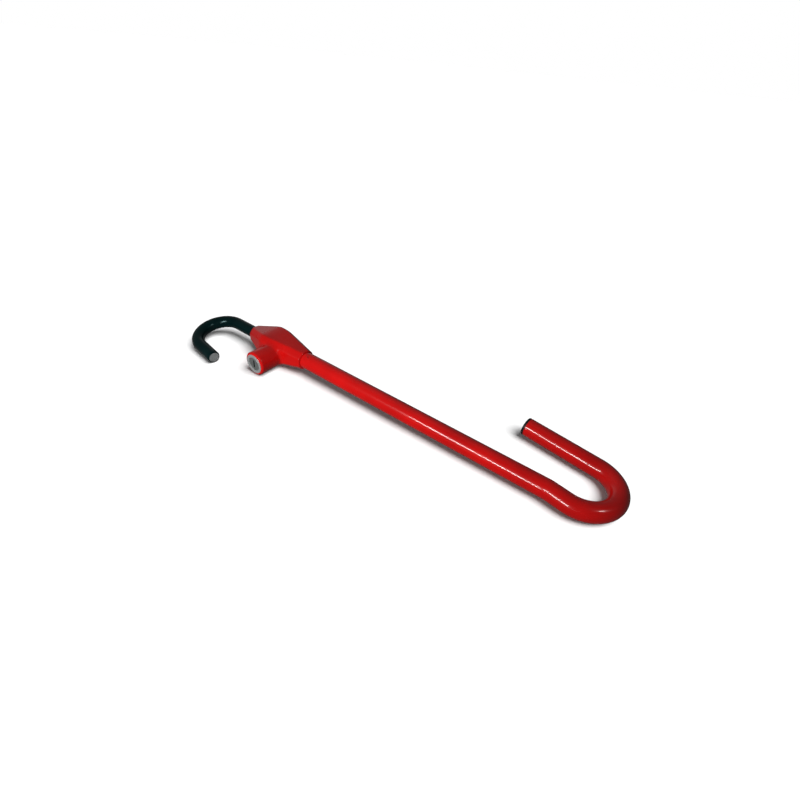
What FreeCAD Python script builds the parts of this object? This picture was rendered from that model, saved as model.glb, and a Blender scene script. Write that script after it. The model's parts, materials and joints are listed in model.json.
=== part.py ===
import FreeCAD, Part
import Sketcher
import math
import os

# Telescoping steering wheel lock, in millimetres.
# +X runs along the rod towards the pedal hook, -Y is the side of the key, +Z is up.
# The origin is the middle of the flat pad under the lock housing.

DIMENSIONS = {
    # rod and wheel hook
    "axis_height": 18.0,
    "rod_radius": 6.0,
    "rod_tail_x": 345.0,
    "rod_bend_x": -70.8,
    "wheel_bend_radius": 28.5,
    "wheel_bend_turn": 170.9,
    "wheel_tip_length": 33.2,
    "wheel_hook_roll": 10.5,
    "groove_pitch": 12.5,
    "groove_count": 23,
    "groove_floor_width": 5.0,
    "groove_root_radius": 4.25,
    "groove_flare": 1.2,
    "spigot_radius": 4.5,
    "spigot_length": 12.4,
    "thread_gap": 2.0,
    "sleeve_radius": 7.5,
    "sleeve_end_x": -32.0,
    # tube and pedal hook
    "tube_radius": 10.0,
    "tube_bore_radius": 7.5,
    "tube_start_x": 22.0,
    "tube_straight": 338.0,
    "jog_radius": 44.0,
    "jog_turn": 9.2,
    "jog_straight": 16.0,
    "pedal_bend_radius": 32.3,
    "pedal_bend_turn": 181.6,
    "pedal_tip_length": 79.5,
    "cap_thickness": 2.2,
    "cap_plug_length": 10.0,
    "cap_inset": 0.1,
    "cap_edge": 1.0,
    "stop_rivet_x": 59.5,
    "stop_rivet_lean": 53.0,
    "stop_rivet_radius": 2.2,
    "rivet_head_radius": 3.0,
    "rivet_head_height": 1.1,
    "rivet_reach": 6.6,
    # housing
    "mouth_x": -37.0,
    "mouth_half_size": 9.9,
    "mouth_bore_radius": 8.5,
    "mouth_bore_depth": 7.0,
    "belly_half_length": 6.0,
    "belly_half_width": 20.0,
    "belly_half_height": 17.5,
    "belly_drop": 0.5,
    "belly_bevel": 5.5,
    "neck_x": 53.0,
    "neck_half_size": 11.6,
    "bush_seat_radius": 8.0,
    "bush_length": 14.0,
    "wiper_length": 1.6,
    "rod_passage_radius": 6.75,
    # lock cylinder and bolt
    "key_x": 12.0,
    "key_drop": 3.4,
    "barrel_radius": 14.6,
    "barrel_face": 44.5,
    "barrel_rounding": 2.2,
    "cylinder_radius": 10.2,
    "cylinder_bore_floor": 24.6,
    "bolt_bore_radius": 6.5,
    "bolt_bore_floor": 12.0,
    "plug_radius": 6.8,
    "plug_head_radius": 8.2,
    "plug_neck_radius": 5.8,
    "plug_shoulder": 0.9,
    "plug_face": 44.7,
    "bezel_face": 45.3,
    "face_edge": 0.4,
    "shell_face": 42.5,
    "shell_length": 15.5,
    "clip_width": 0.9,
    "clip_radius": 8.0,
    "tail_square": 5.0,
    "cam_screw_radius": 1.25,
    "cam_screw_length": 5.8,
    "cam_screw_head_radius": 3.6,
    "cam_screw_head_height": 1.6,
    "cam_screw_socket_radius": 1.6,
    "first_wafer": 2.4,
    "wafer_foot": 5.3,
    "wafer_top": 6.2,
    "window_low": 1.4,
    "window_high": 1.8,
    "retaining_pin_radius": 1.25,
    "retaining_pin_offset": 10.0,
    "retaining_pin_low": 5.0,
    "retaining_pin_high": 17.0,
    "retaining_pin_y": 30.0,
    "anchor_pin_radius": 1.5,
    "anchor_pin_x": 31.0,
    "anchor_pin_offset": 9.4,
    "anchor_pin_low": 5.0,
    "anchor_pin_high": 24.5,
    "washer_radius": 6.6,
    "washer_thickness": 1.4,
    "screw_radius": 2.1,
    "screw_length": 9.4,
    "screw_head_radius": 4.2,
    "screw_head_height": 2.6,
    "screw_socket_radius": 2.0,
    "key_slot_width": 2.2,
    "key_slot_height": 10.0,
    "wafer_width": 5.0,
    "wafer_thickness": 1.2,
    "wafer_pitch": 3.2,
    "wafer_count": 4,
    "wafer_travel": 0.8,
    "wafer_slack": 0.15,
    "cam_radius": 6.1,
    "cam_hollow_radius": 4.3,
    "cam_base": 2.0,
    "cam_rise": 4.8,
    "cam_gap": 0.28,
    "cam_lag": 3.0,
    "cam_base_y": 22.9,
    "bolt_width": 4.4,
    "bolt_height": 9.0,
    "bolt_nose": 7.0,
    "bolt_flange": 1.5,
    "spring_wire_radius": 0.25,
    "spring_radius": 5.75,
    "spring_pitch": 0.58,
    "spring_turns": 2.0,
    # clearances
    "running_gap": 0.05,
    "sliding_gap": 0.1,
    "free_gap": 0.3,
    # how far a cut runs past the face it opens
    "overrun": 1.0,
}

COLUMNS = "ABCDEFGH"
ROWS = 40


class Size:
    """A length known both as a number and as an expression on the sheet."""

    def __init__(self, number, text):
        self.number = number
        self.text = text

    def __add__(self, other):
        other = size(other)
        return Size(self.number + other.number, "(%s + %s)" % (self.text, other.text))

    def __sub__(self, other):
        other = size(other)
        return Size(self.number - other.number, "(%s - %s)" % (self.text, other.text))

    def __mul__(self, other):
        other = size(other)
        return Size(self.number * other.number, "%s * %s" % (self.text, other.text))

    def __truediv__(self, other):
        other = size(other)
        return Size(self.number / other.number, "%s / %s" % (self.text, other.text))

    def __neg__(self):
        return Size(-self.number, "(-1 * %s)" % self.text)

    __radd__ = __add__
    __rmul__ = __mul__

    def __rsub__(self, other):
        return size(other) - self


def size(value):
    """A plain number as a Size; a Size as it is."""
    return value if isinstance(value, Size) else Size(float(value), repr(float(value)))


doc = FreeCAD.newDocument("steering_wheel_lock")
sheet = doc.addObject("Spreadsheet::Sheet", "Dims")
for index, (alias, number) in enumerate(DIMENSIONS.items()):
    cell = "%s%d" % (COLUMNS[index // ROWS], index % ROWS + 1)
    sheet.set(cell, str(number))
    sheet.setAlias(cell, alias)
doc.recompute()


class Dims:
    """Every driving dimension as a Size with the alias as its name."""


for alias, number in DIMENSIONS.items():
    setattr(Dims, alias, Size(number, "Dims." + alias))

AXIS = Dims.axis_height
KEY_Z = Dims.axis_height - Dims.key_drop
subparts = []


def bind(thing, name, value):
    """Bind one property of an object to an expression on the sheet."""
    setattr(thing, name, size(value).number)
    thing.setExpression(name, size(value).text)


def place(thing, x=0, y=0, z=0, axis=(0, 0, 1), angle=0):
    """Place an object with its position and angle bound to the sheet."""
    base = FreeCAD.Vector(size(x).number, size(y).number, size(z).number)
    turn = FreeCAD.Rotation(FreeCAD.Vector(*axis), size(angle).number)
    thing.Placement = FreeCAD.Placement(base, turn)
    for letter, value in zip("xyz", (x, y, z)):
        thing.setExpression("Placement.Base." + letter, size(value).text)
    if size(angle).number != 0:
        thing.setExpression("Placement.Rotation.Angle", size(angle).text + " * 1 deg")


def new_body(label):
    """A PartDesign body that is one sub-part."""
    body = doc.addObject("PartDesign::Body", label)
    body.Label = label
    subparts.append(body)
    return body


def datum(body, role):
    """The body's own origin plane or axis with this role."""
    return [item for item in body.Origin.OriginFeatures if item.Role == role][0]


def new_sketch(body, role="XY_Plane", lift=0, swing=0, about=(0, 1, 0)):
    """A sketch on one of the body's origin planes, lifted along its normal or
    swung about one of its own axes, the vertical one unless another is named."""
    sketch = body.newObject("Sketcher::SketchObject", body.Label + "_sketch")
    sketch.AttachmentSupport = [(datum(body, role), "")]
    sketch.MapMode = "FlatFace"
    lift = size(lift)
    turn = FreeCAD.Rotation(FreeCAD.Vector(*about), swing)
    sketch.AttachmentOffset = FreeCAD.Placement(FreeCAD.Vector(0, 0, lift.number), turn)
    sketch.setExpression("AttachmentOffset.Base.z", lift.text)
    return sketch


def constrain(sketch, kind, *where, value):
    """Add one dimension to a sketch, bound to the sheet."""
    value = size(value)
    index = sketch.addConstraint(Sketcher.Constraint(kind, *where, value.number))
    sketch.setExpression("Constraints[%d]" % index, value.text)


def outline(sketch, corners):
    """A closed polygon whose corners are bound to the sheet."""
    corners = [(size(x), size(y)) for x, y in corners]
    points = [FreeCAD.Vector(x.number, y.number, 0) for x, y in corners]
    count = len(points)
    first = sketch.GeometryCount
    for index in range(count):
        line = Part.LineSegment(points[index], points[(index + 1) % count])
        sketch.addGeometry(line, False)
    for index in range(count):
        following = first + (index + 1) % count
        sketch.addConstraint(Sketcher.Constraint("Coincident", first + index, 2, following, 1))
    for index, (x, y) in enumerate(corners):
        constrain(sketch, "DistanceX", -1, 1, first + index, 1, value=x)
        constrain(sketch, "DistanceY", -1, 1, first + index, 1, value=y)


def circle(sketch, radius, x=0, y=0):
    """A circle whose centre and radius are bound to the sheet."""
    centre = FreeCAD.Vector(size(x).number, size(y).number, 0)
    up = FreeCAD.Vector(0, 0, 1)
    index = sketch.addGeometry(Part.Circle(centre, up, size(radius).number), False)
    constrain(sketch, "DistanceX", -1, 1, index, 3, value=x)
    constrain(sketch, "DistanceY", -1, 1, index, 3, value=y)
    constrain(sketch, "Radius", index, value=radius)


def rectangle(sketch, left, right, bottom, top):
    outline(sketch, [(left, bottom), (right, bottom), (right, top), (left, top)])


def pad(body, sketch, length, reverse=False):
    feature = body.newObject("PartDesign::Pad", body.Label + "_pad")
    feature.Profile = sketch
    feature.Reversed = reverse
    bind(feature, "Length", length)
    return feature


def pocket(body, sketch, length, reverse=False):
    """Cut the sketch into the body, and check that it really cuts."""
    doc.recompute()
    before = body.Shape.Volume
    feature = body.newObject("PartDesign::Pocket", body.Label + "_pocket")
    feature.Profile = sketch
    feature.Reversed = reverse
    bind(feature, "Length", length)
    doc.recompute()
    if not feature.Shape.Volume < before - 0.01:
        raise RuntimeError("a pocket of %s cuts nothing" % body.Label)
    return feature


def revolve(body, corners, role="XY_Plane", about="H_Axis", cut=False):
    """Turn a closed outline a full circle about one axis of its sketch."""
    sketch = new_sketch(body, role)
    outline(sketch, corners)
    kind = "PartDesign::Groove" if cut else "PartDesign::Revolution"
    feature = body.newObject(kind, body.Label + "_turned")
    feature.Profile = sketch
    feature.ReferenceAxis = (sketch, [about])
    feature.Angle = 360.0
    return feature


def bent_path(body, role, heading, legs):
    """Tangent straight legs and arcs in one sketch; each leg is ("line", length)
    or ("arc", radius, degrees), and a positive turn is to the left."""
    sketch = new_sketch(body, role)
    point = FreeCAD.Vector(0, 0, 0)
    angle = math.radians(heading)
    previous = None
    for leg in legs:
        forward = FreeCAD.Vector(math.cos(angle), math.sin(angle), 0)
        if leg[0] == "line":
            end = point + forward * size(leg[1]).number
            index = sketch.addGeometry(Part.LineSegment(point, end), False)
            constrain(sketch, "Distance", index, value=leg[1])
            entry, leave = 1, 2
        else:
            radius = size(leg[1]).number
            turn = math.radians(size(leg[2]).number)
            side = 1 if turn > 0 else -1
            centre = point + FreeCAD.Vector(-forward.y, forward.x, 0) * radius * side
            start = angle - side * math.pi / 2
            low, high = sorted((start, start + turn))
            round_line = Part.Circle(centre, FreeCAD.Vector(0, 0, 1), radius)
            index = sketch.addGeometry(Part.ArcOfCircle(round_line, low, high), False)
            constrain(sketch, "Radius", index, value=leg[1])
            spread = leg[2] if side > 0 else -leg[2]
            bound = sketch.addConstraint(
                Sketcher.Constraint("Angle", index, math.radians(spread.number)))
            sketch.setExpression("Constraints[%d]" % bound, spread.text + " * 1 deg")
            angle += turn
            last = start + turn
            end = centre + FreeCAD.Vector(math.cos(last), math.sin(last), 0) * radius
            entry, leave = (1, 2) if side > 0 else (2, 1)
        if previous is None:
            sketch.addConstraint(Sketcher.Constraint("Coincident", index, entry, -1, 1))
            sketch.addConstraint(Sketcher.Constraint("Horizontal", index))
        else:
            sketch.addConstraint(Sketcher.Constraint("Tangent", *previous, index, entry))
        previous = (index, leave)
        point = end
    return sketch


def pipe(body, radius, legs, heading=0, bore=None):
    """A round bar or tube along a bent path that starts at the body's origin."""
    path = bent_path(body, "XY_Plane", heading, legs)
    section = new_sketch(body, "YZ_Plane")
    circle(section, radius)
    solid = body.newObject("PartDesign::AdditivePipe", body.Label + "_bar")
    solid.Profile = section
    solid.Spine = path
    if bore is None:
        return solid
    hole = new_sketch(body, "YZ_Plane")
    circle(hole, bore)
    inside = body.newObject("PartDesign::SubtractivePipe", body.Label + "_bore")
    inside.Profile = hole
    inside.Spine = path
    return inside


def octagon(half_width, half_height, bevel, drop=0):
    """Corners of a bevelled rectangle about the rod's axis, lowered by drop."""
    w, h, b = size(half_width), size(half_height), size(bevel)
    drop = size(drop)
    corners = [(w, b - h), (w, h - b), (w - b, h), (b - w, h)]
    corners += [(-w, h - b), (-w, b - h), (b - w, -h), (w - b, -h)]
    return [(x, y - drop) for x, y in corners]


def pedal_legs():
    return [
        ("line", Dims.tube_straight),
        ("arc", Dims.jog_radius, -Dims.jog_turn),
        ("line", Dims.jog_straight),
        ("arc", Dims.pedal_bend_radius, Dims.pedal_bend_turn),
        ("line", Dims.pedal_tip_length),
    ]


def tip_placement():
    """Where the bent tube ends, and the turn that takes +X along its last leg."""
    point = FreeCAD.Vector(Dims.tube_start_x.number, 0, AXIS.number)
    angle = 0.0
    for leg in pedal_legs():
        forward = FreeCAD.Vector(math.cos(angle), math.sin(angle), 0)
        if leg[0] == "line":
            point = point + forward * leg[1].number
        else:
            turn = math.radians(leg[2].number)
            side = 1 if turn > 0 else -1
            left = FreeCAD.Vector(-forward.y, forward.x, 0) * side
            centre = point + left * leg[1].number
            spoke = point - centre
            rotation = FreeCAD.Rotation(FreeCAD.Vector(0, 0, 1), math.degrees(turn))
            point = centre + rotation.multVec(spoke)
            angle += turn
    return point, math.degrees(angle)


def make_tube():
    """The outer tube and its J hook, with the holes for the rivet and the pins."""
    body = new_body("j_hook_tube")
    place(body, x=Dims.tube_start_x, z=AXIS)
    pipe(body, Dims.tube_radius, pedal_legs(), bore=Dims.tube_bore_radius)
    lean = -Dims.stop_rivet_lean
    seat = new_sketch(body, "XZ_Plane", swing=lean.number, about=(1, 0, 0))
    circle(seat, Dims.stop_rivet_radius, x=Dims.stop_rivet_x - Dims.tube_start_x)
    pocket(body, seat, Dims.tube_radius + Dims.overrun, reverse=True)
    anchor_holes(body, Dims.anchor_pin_x - Dims.tube_start_x)


def anchor_holes(body, x):
    """Holes for the two pins that cross the neck along the tube's flanks."""
    holes = new_sketch(body, lift=Dims.anchor_pin_high - AXIS)
    circle(holes, Dims.anchor_pin_radius, x=x, y=Dims.anchor_pin_offset)
    circle(holes, Dims.anchor_pin_radius, x=x, y=-Dims.anchor_pin_offset)
    pocket(body, holes, Dims.anchor_pin_high)


def make_tube_end_cap():
    """A cap plugged into the tube's open end. It stands where the bent line ends,
    which no single expression on the sheet gives."""
    body = new_body("tube_end_cap")
    point, angle = tip_placement()
    turn = FreeCAD.Rotation(FreeCAD.Vector(0, 0, 1), angle)
    body.Placement = FreeCAD.Placement(point, turn)
    rim = Dims.tube_radius - Dims.cap_inset
    edge = Dims.cap_edge
    grip = Dims.tube_bore_radius
    revolve(body, [
        (-Dims.cap_plug_length, 0),
        (Dims.cap_thickness, 0),
        (Dims.cap_thickness, rim - edge),
        (Dims.cap_thickness - edge, rim),
        (0, rim),
        (0, grip),
        (edge - Dims.cap_plug_length, grip),
        (-Dims.cap_plug_length, grip - edge),
    ])


def make_stop_rivet():
    """A domed rivet whose shank stops the guide bush at the tube's mouth."""
    body = new_body("stop_rivet")
    place(body, x=Dims.stop_rivet_x, z=AXIS, axis=(1, 0, 0), angle=-Dims.stop_rivet_lean)
    shank = Dims.stop_rivet_radius
    head = Dims.rivet_head_radius
    top = Dims.tube_radius + Dims.rivet_head_height
    revolve(body, [
        (0, -Dims.rivet_reach),
        (shank, -Dims.rivet_reach),
        (shank, -Dims.tube_radius),
        (head, -Dims.tube_radius),
        (shank, -(top - Dims.cap_inset)),
        (0, -top),
    ], about="V_Axis")


def make_housing():
    """The cast housing: four bevelled sections joined by flat facets, and the barrel."""
    body = new_body("lock_housing")
    place(body, z=AXIS)
    regular = 2 - 2 ** 0.5    # bevel of a regular octagon, as a share of its half size
    mouth = Dims.mouth_half_size
    neck = Dims.neck_half_size
    belly = octagon(Dims.belly_half_width, Dims.belly_half_height,
                    Dims.belly_bevel, Dims.belly_drop)
    stations = [
        (Dims.mouth_x, octagon(mouth, mouth, mouth * regular)),
        (-Dims.belly_half_length, belly),
        (Dims.belly_half_length, belly),
        (Dims.neck_x, octagon(neck, neck, neck * regular)),
    ]
    sections = []
    for x, corners in stations:
        section = new_sketch(body, "YZ_Plane", lift=x)
        outline(section, corners)
        sections.append(section)
    loft = body.newObject("PartDesign::AdditiveLoft", "housing_loft")
    loft.Profile = sections[0]
    loft.Sections = sections[1:]
    loft.Ruled = True
    doc.recompute()
    barrel = new_sketch(body, "XZ_Plane")
    circle(barrel, Dims.barrel_radius, x=Dims.key_x, y=-Dims.key_drop)
    pad(body, barrel, Dims.barrel_face)
    doc.recompute()
    rim_edge(body)
    bore_housing(body)


def rim_edge(body):
    """Round the outer edge of the key barrel's face."""
    feature = body.Tip
    names = []
    for index, edge in enumerate(feature.Shape.Edges):
        box = edge.BoundBox
        if abs(box.YMin + Dims.barrel_face.number) < 0.01 and box.YLength < 0.01:
            names.append("Edge%d" % (index + 1))
    rounding = body.newObject("PartDesign::Fillet", "barrel_rounding")
    rounding.Base = (feature, names)
    bind(rounding, "Radius", Dims.barrel_rounding)
    doc.recompute()


def bore_housing(body):
    """The stepped bore for the rod and tube, then the cylinder's and the bolt's."""
    rod_floor = Dims.mouth_x + Dims.mouth_bore_depth
    revolve(body, [
        (Dims.mouth_x - Dims.overrun, 0),
        (Dims.neck_x + Dims.overrun, 0),
        (Dims.neck_x + Dims.overrun, Dims.tube_radius),
        (Dims.tube_start_x, Dims.tube_radius),
        (Dims.tube_start_x, Dims.rod_passage_radius),
        (rod_floor + Dims.bush_length, Dims.rod_passage_radius),
        (rod_floor + Dims.bush_length, Dims.bush_seat_radius),
        (rod_floor, Dims.bush_seat_radius),
        (rod_floor, Dims.mouth_bore_radius),
        (Dims.mouth_x - Dims.overrun, Dims.mouth_bore_radius),
    ], cut=True)
    for radius, floor in ((Dims.cylinder_radius, Dims.cylinder_bore_floor),
                          (Dims.bolt_bore_radius, Dims.bolt_bore_floor)):
        hole = new_sketch(body, "XZ_Plane", lift=floor)
        circle(hole, radius, x=Dims.key_x, y=-Dims.key_drop)
        pocket(body, hole, Dims.barrel_face, reverse=True)
    slot = new_sketch(body, "XZ_Plane")
    gap = Dims.free_gap
    middle = -Dims.key_drop
    rectangle(slot, Dims.key_x - Dims.bolt_width / 2 - gap, Dims.key_x + Dims.bolt_width / 2 + gap,
              middle - Dims.bolt_height / 2 - gap, middle + Dims.bolt_height / 2 + gap)
    pocket(body, slot, Dims.bolt_bore_floor + Dims.overrun, reverse=True)
    anchor_holes(body, Dims.anchor_pin_x)
    cross = new_sketch(body, lift=Dims.retaining_pin_high - AXIS)
    circle(cross, Dims.retaining_pin_radius, x=Dims.key_x + Dims.retaining_pin_offset,
           y=-Dims.retaining_pin_y)
    pocket(body, cross, Dims.retaining_pin_high)


def ring(label, x, length, inner, outer, chamfer):
    """A chamfered ring on the rod's axis from x towards +X."""
    body = new_body(label)
    place(body, x=x, z=AXIS)
    revolve(body, [
        (0, inner),
        (length, inner),
        (length, outer - chamfer),
        (size(length) - chamfer, outer),
        (chamfer, outer),
        (0, outer - chamfer),
    ])
    return body


def make_mouth():
    """The nylon bush that guides the rod, and the wiper ring in front of it."""
    floor = Dims.mouth_x + Dims.mouth_bore_depth
    ring("mouth_bush", floor + Dims.wiper_length, Dims.bush_length - Dims.wiper_length,
         Dims.rod_radius + Dims.running_gap, Dims.bush_seat_radius, Dims.face_edge)
    ring("mouth_wiper", floor, Dims.wiper_length, Dims.rod_radius + Dims.sliding_gap,
         Dims.bush_seat_radius, Dims.free_gap)


def make_anchor_pins():
    """Two spring pins that cross the housing's neck along the tube's flanks."""
    pins = []
    for side in (-1, 1):
        pin = upright_pin("anchor_pin", Dims.anchor_pin_radius,
                          Dims.anchor_pin_low, Dims.anchor_pin_high)
        place(pin, x=Dims.anchor_pin_x, y=Dims.anchor_pin_offset * side, z=Dims.anchor_pin_low)
        pins.append(pin)
    group("tube_anchor_pins", pins)


def upright_pin(label, radius, low, high):
    """A plain pin that stands along Z."""
    pin = doc.addObject("Part::Cylinder", label)
    pin.Label = label
    bind(pin, "Radius", radius)
    bind(pin, "Height", high - low)
    return pin


def group(label, members):
    """Several separate solids that share one node."""
    together = doc.addObject("Part::Compound", label)
    together.Label = label
    together.Links = members
    subparts.append(together)


def place_on_key_axis(body, y):
    """Stand a body on the key's axis: its own +Z points along +Y, inwards."""
    place(body, x=Dims.key_x, y=-y, z=KEY_Z, axis=(-1, 0, 0), angle=90)


def make_cylinder_shell():
    """The fixed shell, bored for the plug and broached for the wafers."""
    body = new_body("cylinder_shell")
    place_on_key_axis(body, Dims.shell_face)
    outer = new_sketch(body)
    circle(outer, Dims.cylinder_radius - Dims.running_gap)
    pad(body, outer, Dims.shell_length)
    bore = new_sketch(body)
    circle(bore, Dims.plug_radius + Dims.sliding_gap)
    through = Dims.shell_length + Dims.overrun
    pocket(body, bore, through, reverse=True)
    reach = Dims.plug_radius + Dims.wafer_travel + Dims.free_gap
    half = Dims.wafer_width / 2 + Dims.free_gap
    for left, right, bottom, top in ((-half, half, -reach, reach), (-reach, reach, -half, half)):
        broach = new_sketch(body)
        rectangle(broach, left, right, bottom, top)
        pocket(body, broach, through, reverse=True)
    cross = new_sketch(body, "XZ_Plane", lift=Dims.retaining_pin_high - KEY_Z)
    circle(cross, Dims.retaining_pin_radius, x=Dims.retaining_pin_offset,
           y=Dims.shell_face - Dims.retaining_pin_y)
    pocket(body, cross, Dims.retaining_pin_high)


def make_cylinder_bezel():
    """The plated ring round the plug's head, a little proud of the barrel."""
    body = new_body("cylinder_bezel")
    place_on_key_axis(body, Dims.shell_face)
    inner = Dims.plug_head_radius + Dims.sliding_gap
    outer = Dims.cylinder_radius - Dims.running_gap
    proud = Dims.bezel_face - Dims.shell_face
    edge = Dims.face_edge
    revolve(body, [
        (inner, 0),
        (outer, 0),
        (outer, edge - proud),
        (outer - edge, -proud),
        (inner + edge, -proud),
        (inner, edge - proud),
    ], role="XZ_Plane", about="V_Axis")


def make_retaining_pin():
    """A cross pin driven up through the barrel into the shell's flank."""
    pin = upright_pin("cylinder_retaining_pin", Dims.retaining_pin_radius,
                      Dims.retaining_pin_low, Dims.retaining_pin_high)
    place(pin, x=Dims.key_x + Dims.retaining_pin_offset, y=-Dims.retaining_pin_y,
          z=Dims.retaining_pin_low)
    subparts.append(pin)


def make_plug():
    """The turning plug: head, body with wafer slots, clip groove and square tail."""
    body = new_body("key_plug")
    place_on_key_axis(body, Dims.shell_face)
    head = Dims.plug_face - Dims.shell_face
    edge = Dims.face_edge
    groove = Dims.shell_length + Dims.free_gap
    end = groove + Dims.clip_width + Dims.plug_shoulder
    neck = Dims.plug_neck_radius
    revolve(body, [
        (0, -head),
        (Dims.plug_head_radius - edge, -head),
        (Dims.plug_head_radius, edge - head),
        (Dims.plug_head_radius, -Dims.sliding_gap),
        (Dims.plug_radius, -Dims.sliding_gap),
        (Dims.plug_radius, groove),
        (neck, groove),
        (neck, groove + Dims.clip_width),
        (Dims.plug_radius, groove + Dims.clip_width),
        (Dims.plug_radius, end),
        (0, end),
    ], role="XZ_Plane", about="V_Axis")
    tail = new_sketch(body, lift=end)
    half = Dims.tail_square / 2
    rectangle(tail, -half, half, -half, half)
    pad(body, tail, Dims.cam_base - Dims.sliding_gap * 2)
    thread = new_sketch(body, lift=end + Dims.cam_base)
    circle(thread, Dims.cam_screw_radius)
    pocket(body, thread, Dims.cam_screw_length)
    slot = new_sketch(body, lift=-head)
    wide, tall = Dims.key_slot_width / 2, Dims.key_slot_height / 2
    rectangle(slot, -wide, wide, -tall, tall)
    pocket(body, slot, head + Dims.shell_length - Dims.overrun, reverse=True)
    slack = Dims.wafer_slack
    wide = Dims.wafer_width / 2 + slack
    for start in wafer_starts():
        # the body's -Y is the row's +Z, the way the wafers rise
        for depth, upwards in ((Dims.plug_radius + Dims.overrun, True),
                               (Dims.wafer_foot + Dims.free_gap, False)):
            side = new_sketch(body, "XZ_Plane")
            rectangle(side, -wide, wide, start - slack, start + Dims.wafer_thickness + slack)
            pocket(body, side, depth, reverse=upwards)


def wafer_starts():
    """How far each wafer stands behind the shell's face."""
    return [Dims.first_wafer + Dims.wafer_pitch * index
            for index in range(int(Dims.wafer_count.number))]


def make_wafers():
    """Flat plates with a key window, all at the shear line."""
    plates = []
    high = Dims.wafer_foot + Dims.wafer_top
    window_width = Dims.key_slot_width + Dims.free_gap * 2
    for start in wafer_starts():
        back = start - Dims.shell_face
        plate = wafer_box(Dims.wafer_width, Dims.wafer_thickness, high)
        place(plate, x=Dims.key_x - Dims.wafer_width / 2, y=back, z=KEY_Z - Dims.wafer_foot)
        window = wafer_box(window_width, Dims.wafer_thickness + Dims.overrun * 2,
                           high - Dims.window_low - Dims.window_high)
        place(window, x=Dims.key_x - window_width / 2, y=back - Dims.overrun,
              z=KEY_Z - Dims.wafer_foot + Dims.window_low)
        wafer = doc.addObject("Part::Cut", "wafer")
        wafer.Base = plate
        wafer.Tool = window
        plates.append(wafer)
    group("wafers", plates)


def wafer_box(width, thickness, height):
    box = doc.addObject("Part::Box", "wafer_box")
    bind(box, "Length", width)
    bind(box, "Width", thickness)
    bind(box, "Height", height)
    return box


def make_plug_clip():
    """An open ring in the plug's groove that holds the plug in the shell."""
    body = new_body("plug_clip")
    gap = Dims.running_gap
    place_on_key_axis(body, Dims.shell_face - Dims.shell_length - Dims.free_gap - gap)
    flat = new_sketch(body)
    circle(flat, Dims.clip_radius)
    circle(flat, Dims.plug_neck_radius + gap)
    pad(body, flat, Dims.clip_width - gap * 2)
    opening = new_sketch(body)
    half = Dims.plug_neck_radius * 0.7
    rectangle(opening, -half, half, 0, Dims.clip_radius + Dims.overrun)
    pocket(body, opening, Dims.clip_width + Dims.overrun, reverse=True)


def helical_cut(body, inner, outer, low, high, swing=0):
    """Cut two opposite half-turn ramps that fall as the angle grows."""
    section = new_sketch(body, "XZ_Plane", swing=swing)
    past = Dims.free_gap
    rectangle(section, inner - past, outer + past, low, high)
    ramp = body.newObject("PartDesign::SubtractiveHelix", body.Label + "_ramp")
    ramp.Profile = section
    ramp.ReferenceAxis = (section, ["V_Axis"])
    ramp.Mode = 0
    bind(ramp, "Pitch", Dims.cam_rise * 2)
    bind(ramp, "Height", Dims.cam_rise)
    ramp.LeftHanded = True
    doc.recompute()
    both = body.newObject("PartDesign::PolarPattern", body.Label + "_ramps")
    both.Originals = [ramp]
    both.Axis = (datum(body, "Z_Axis"), [""])
    both.Angle = 360.0
    both.Occurrences = 2
    body.Tip = both
    doc.recompute()


def make_plug_cam():
    """A face cam: two half-turn ramps on a disc with a square hole."""
    body = new_body("plug_cam")
    place_on_key_axis(body, Dims.cam_base_y)
    blank = new_sketch(body, lift=-Dims.cam_base)
    circle(blank, Dims.cam_radius)
    pad(body, blank, Dims.cam_base + Dims.cam_rise)
    hollow = new_sketch(body)
    circle(hollow, Dims.cam_hollow_radius)
    pocket(body, hollow, Dims.cam_rise + Dims.overrun, reverse=True)
    hole = new_sketch(body, lift=-Dims.cam_base)
    half = Dims.tail_square / 2 + Dims.running_gap
    rectangle(hole, -half, half, -half, half)
    pocket(body, hole, Dims.cam_base + Dims.overrun, reverse=True)
    helical_cut(body, Dims.cam_hollow_radius, Dims.cam_radius, 0, Dims.cam_rise + Dims.overrun)


def make_cam_screw():
    """The screw that holds the cam on the plug's square tail."""
    body = new_body("cam_screw")
    place_on_key_axis(body, Dims.cam_base_y)
    screw(body, Dims.cam_screw_radius, Dims.cam_screw_length, Dims.cam_screw_head_radius,
          Dims.cam_screw_head_height, Dims.cam_screw_socket_radius, "XZ_Plane")


def screw(body, radius, length, head, height, socket, role):
    """A round-headed screw with a plain round socket; its head starts at the body's origin."""
    edge = Dims.face_edge
    points = [
        (0, -length),
        (radius, -length),
        (radius, 0),
        (head, 0),
        (head, height - edge),
        (head - edge, height),
        (socket, height),
        (socket, height / 2),
        (0, height / 2),
    ]
    if role == "XZ_Plane":
        revolve(body, points, role=role, about="V_Axis")
    else:
        revolve(body, [(along, out) for out, along in points], role=role)


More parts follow.
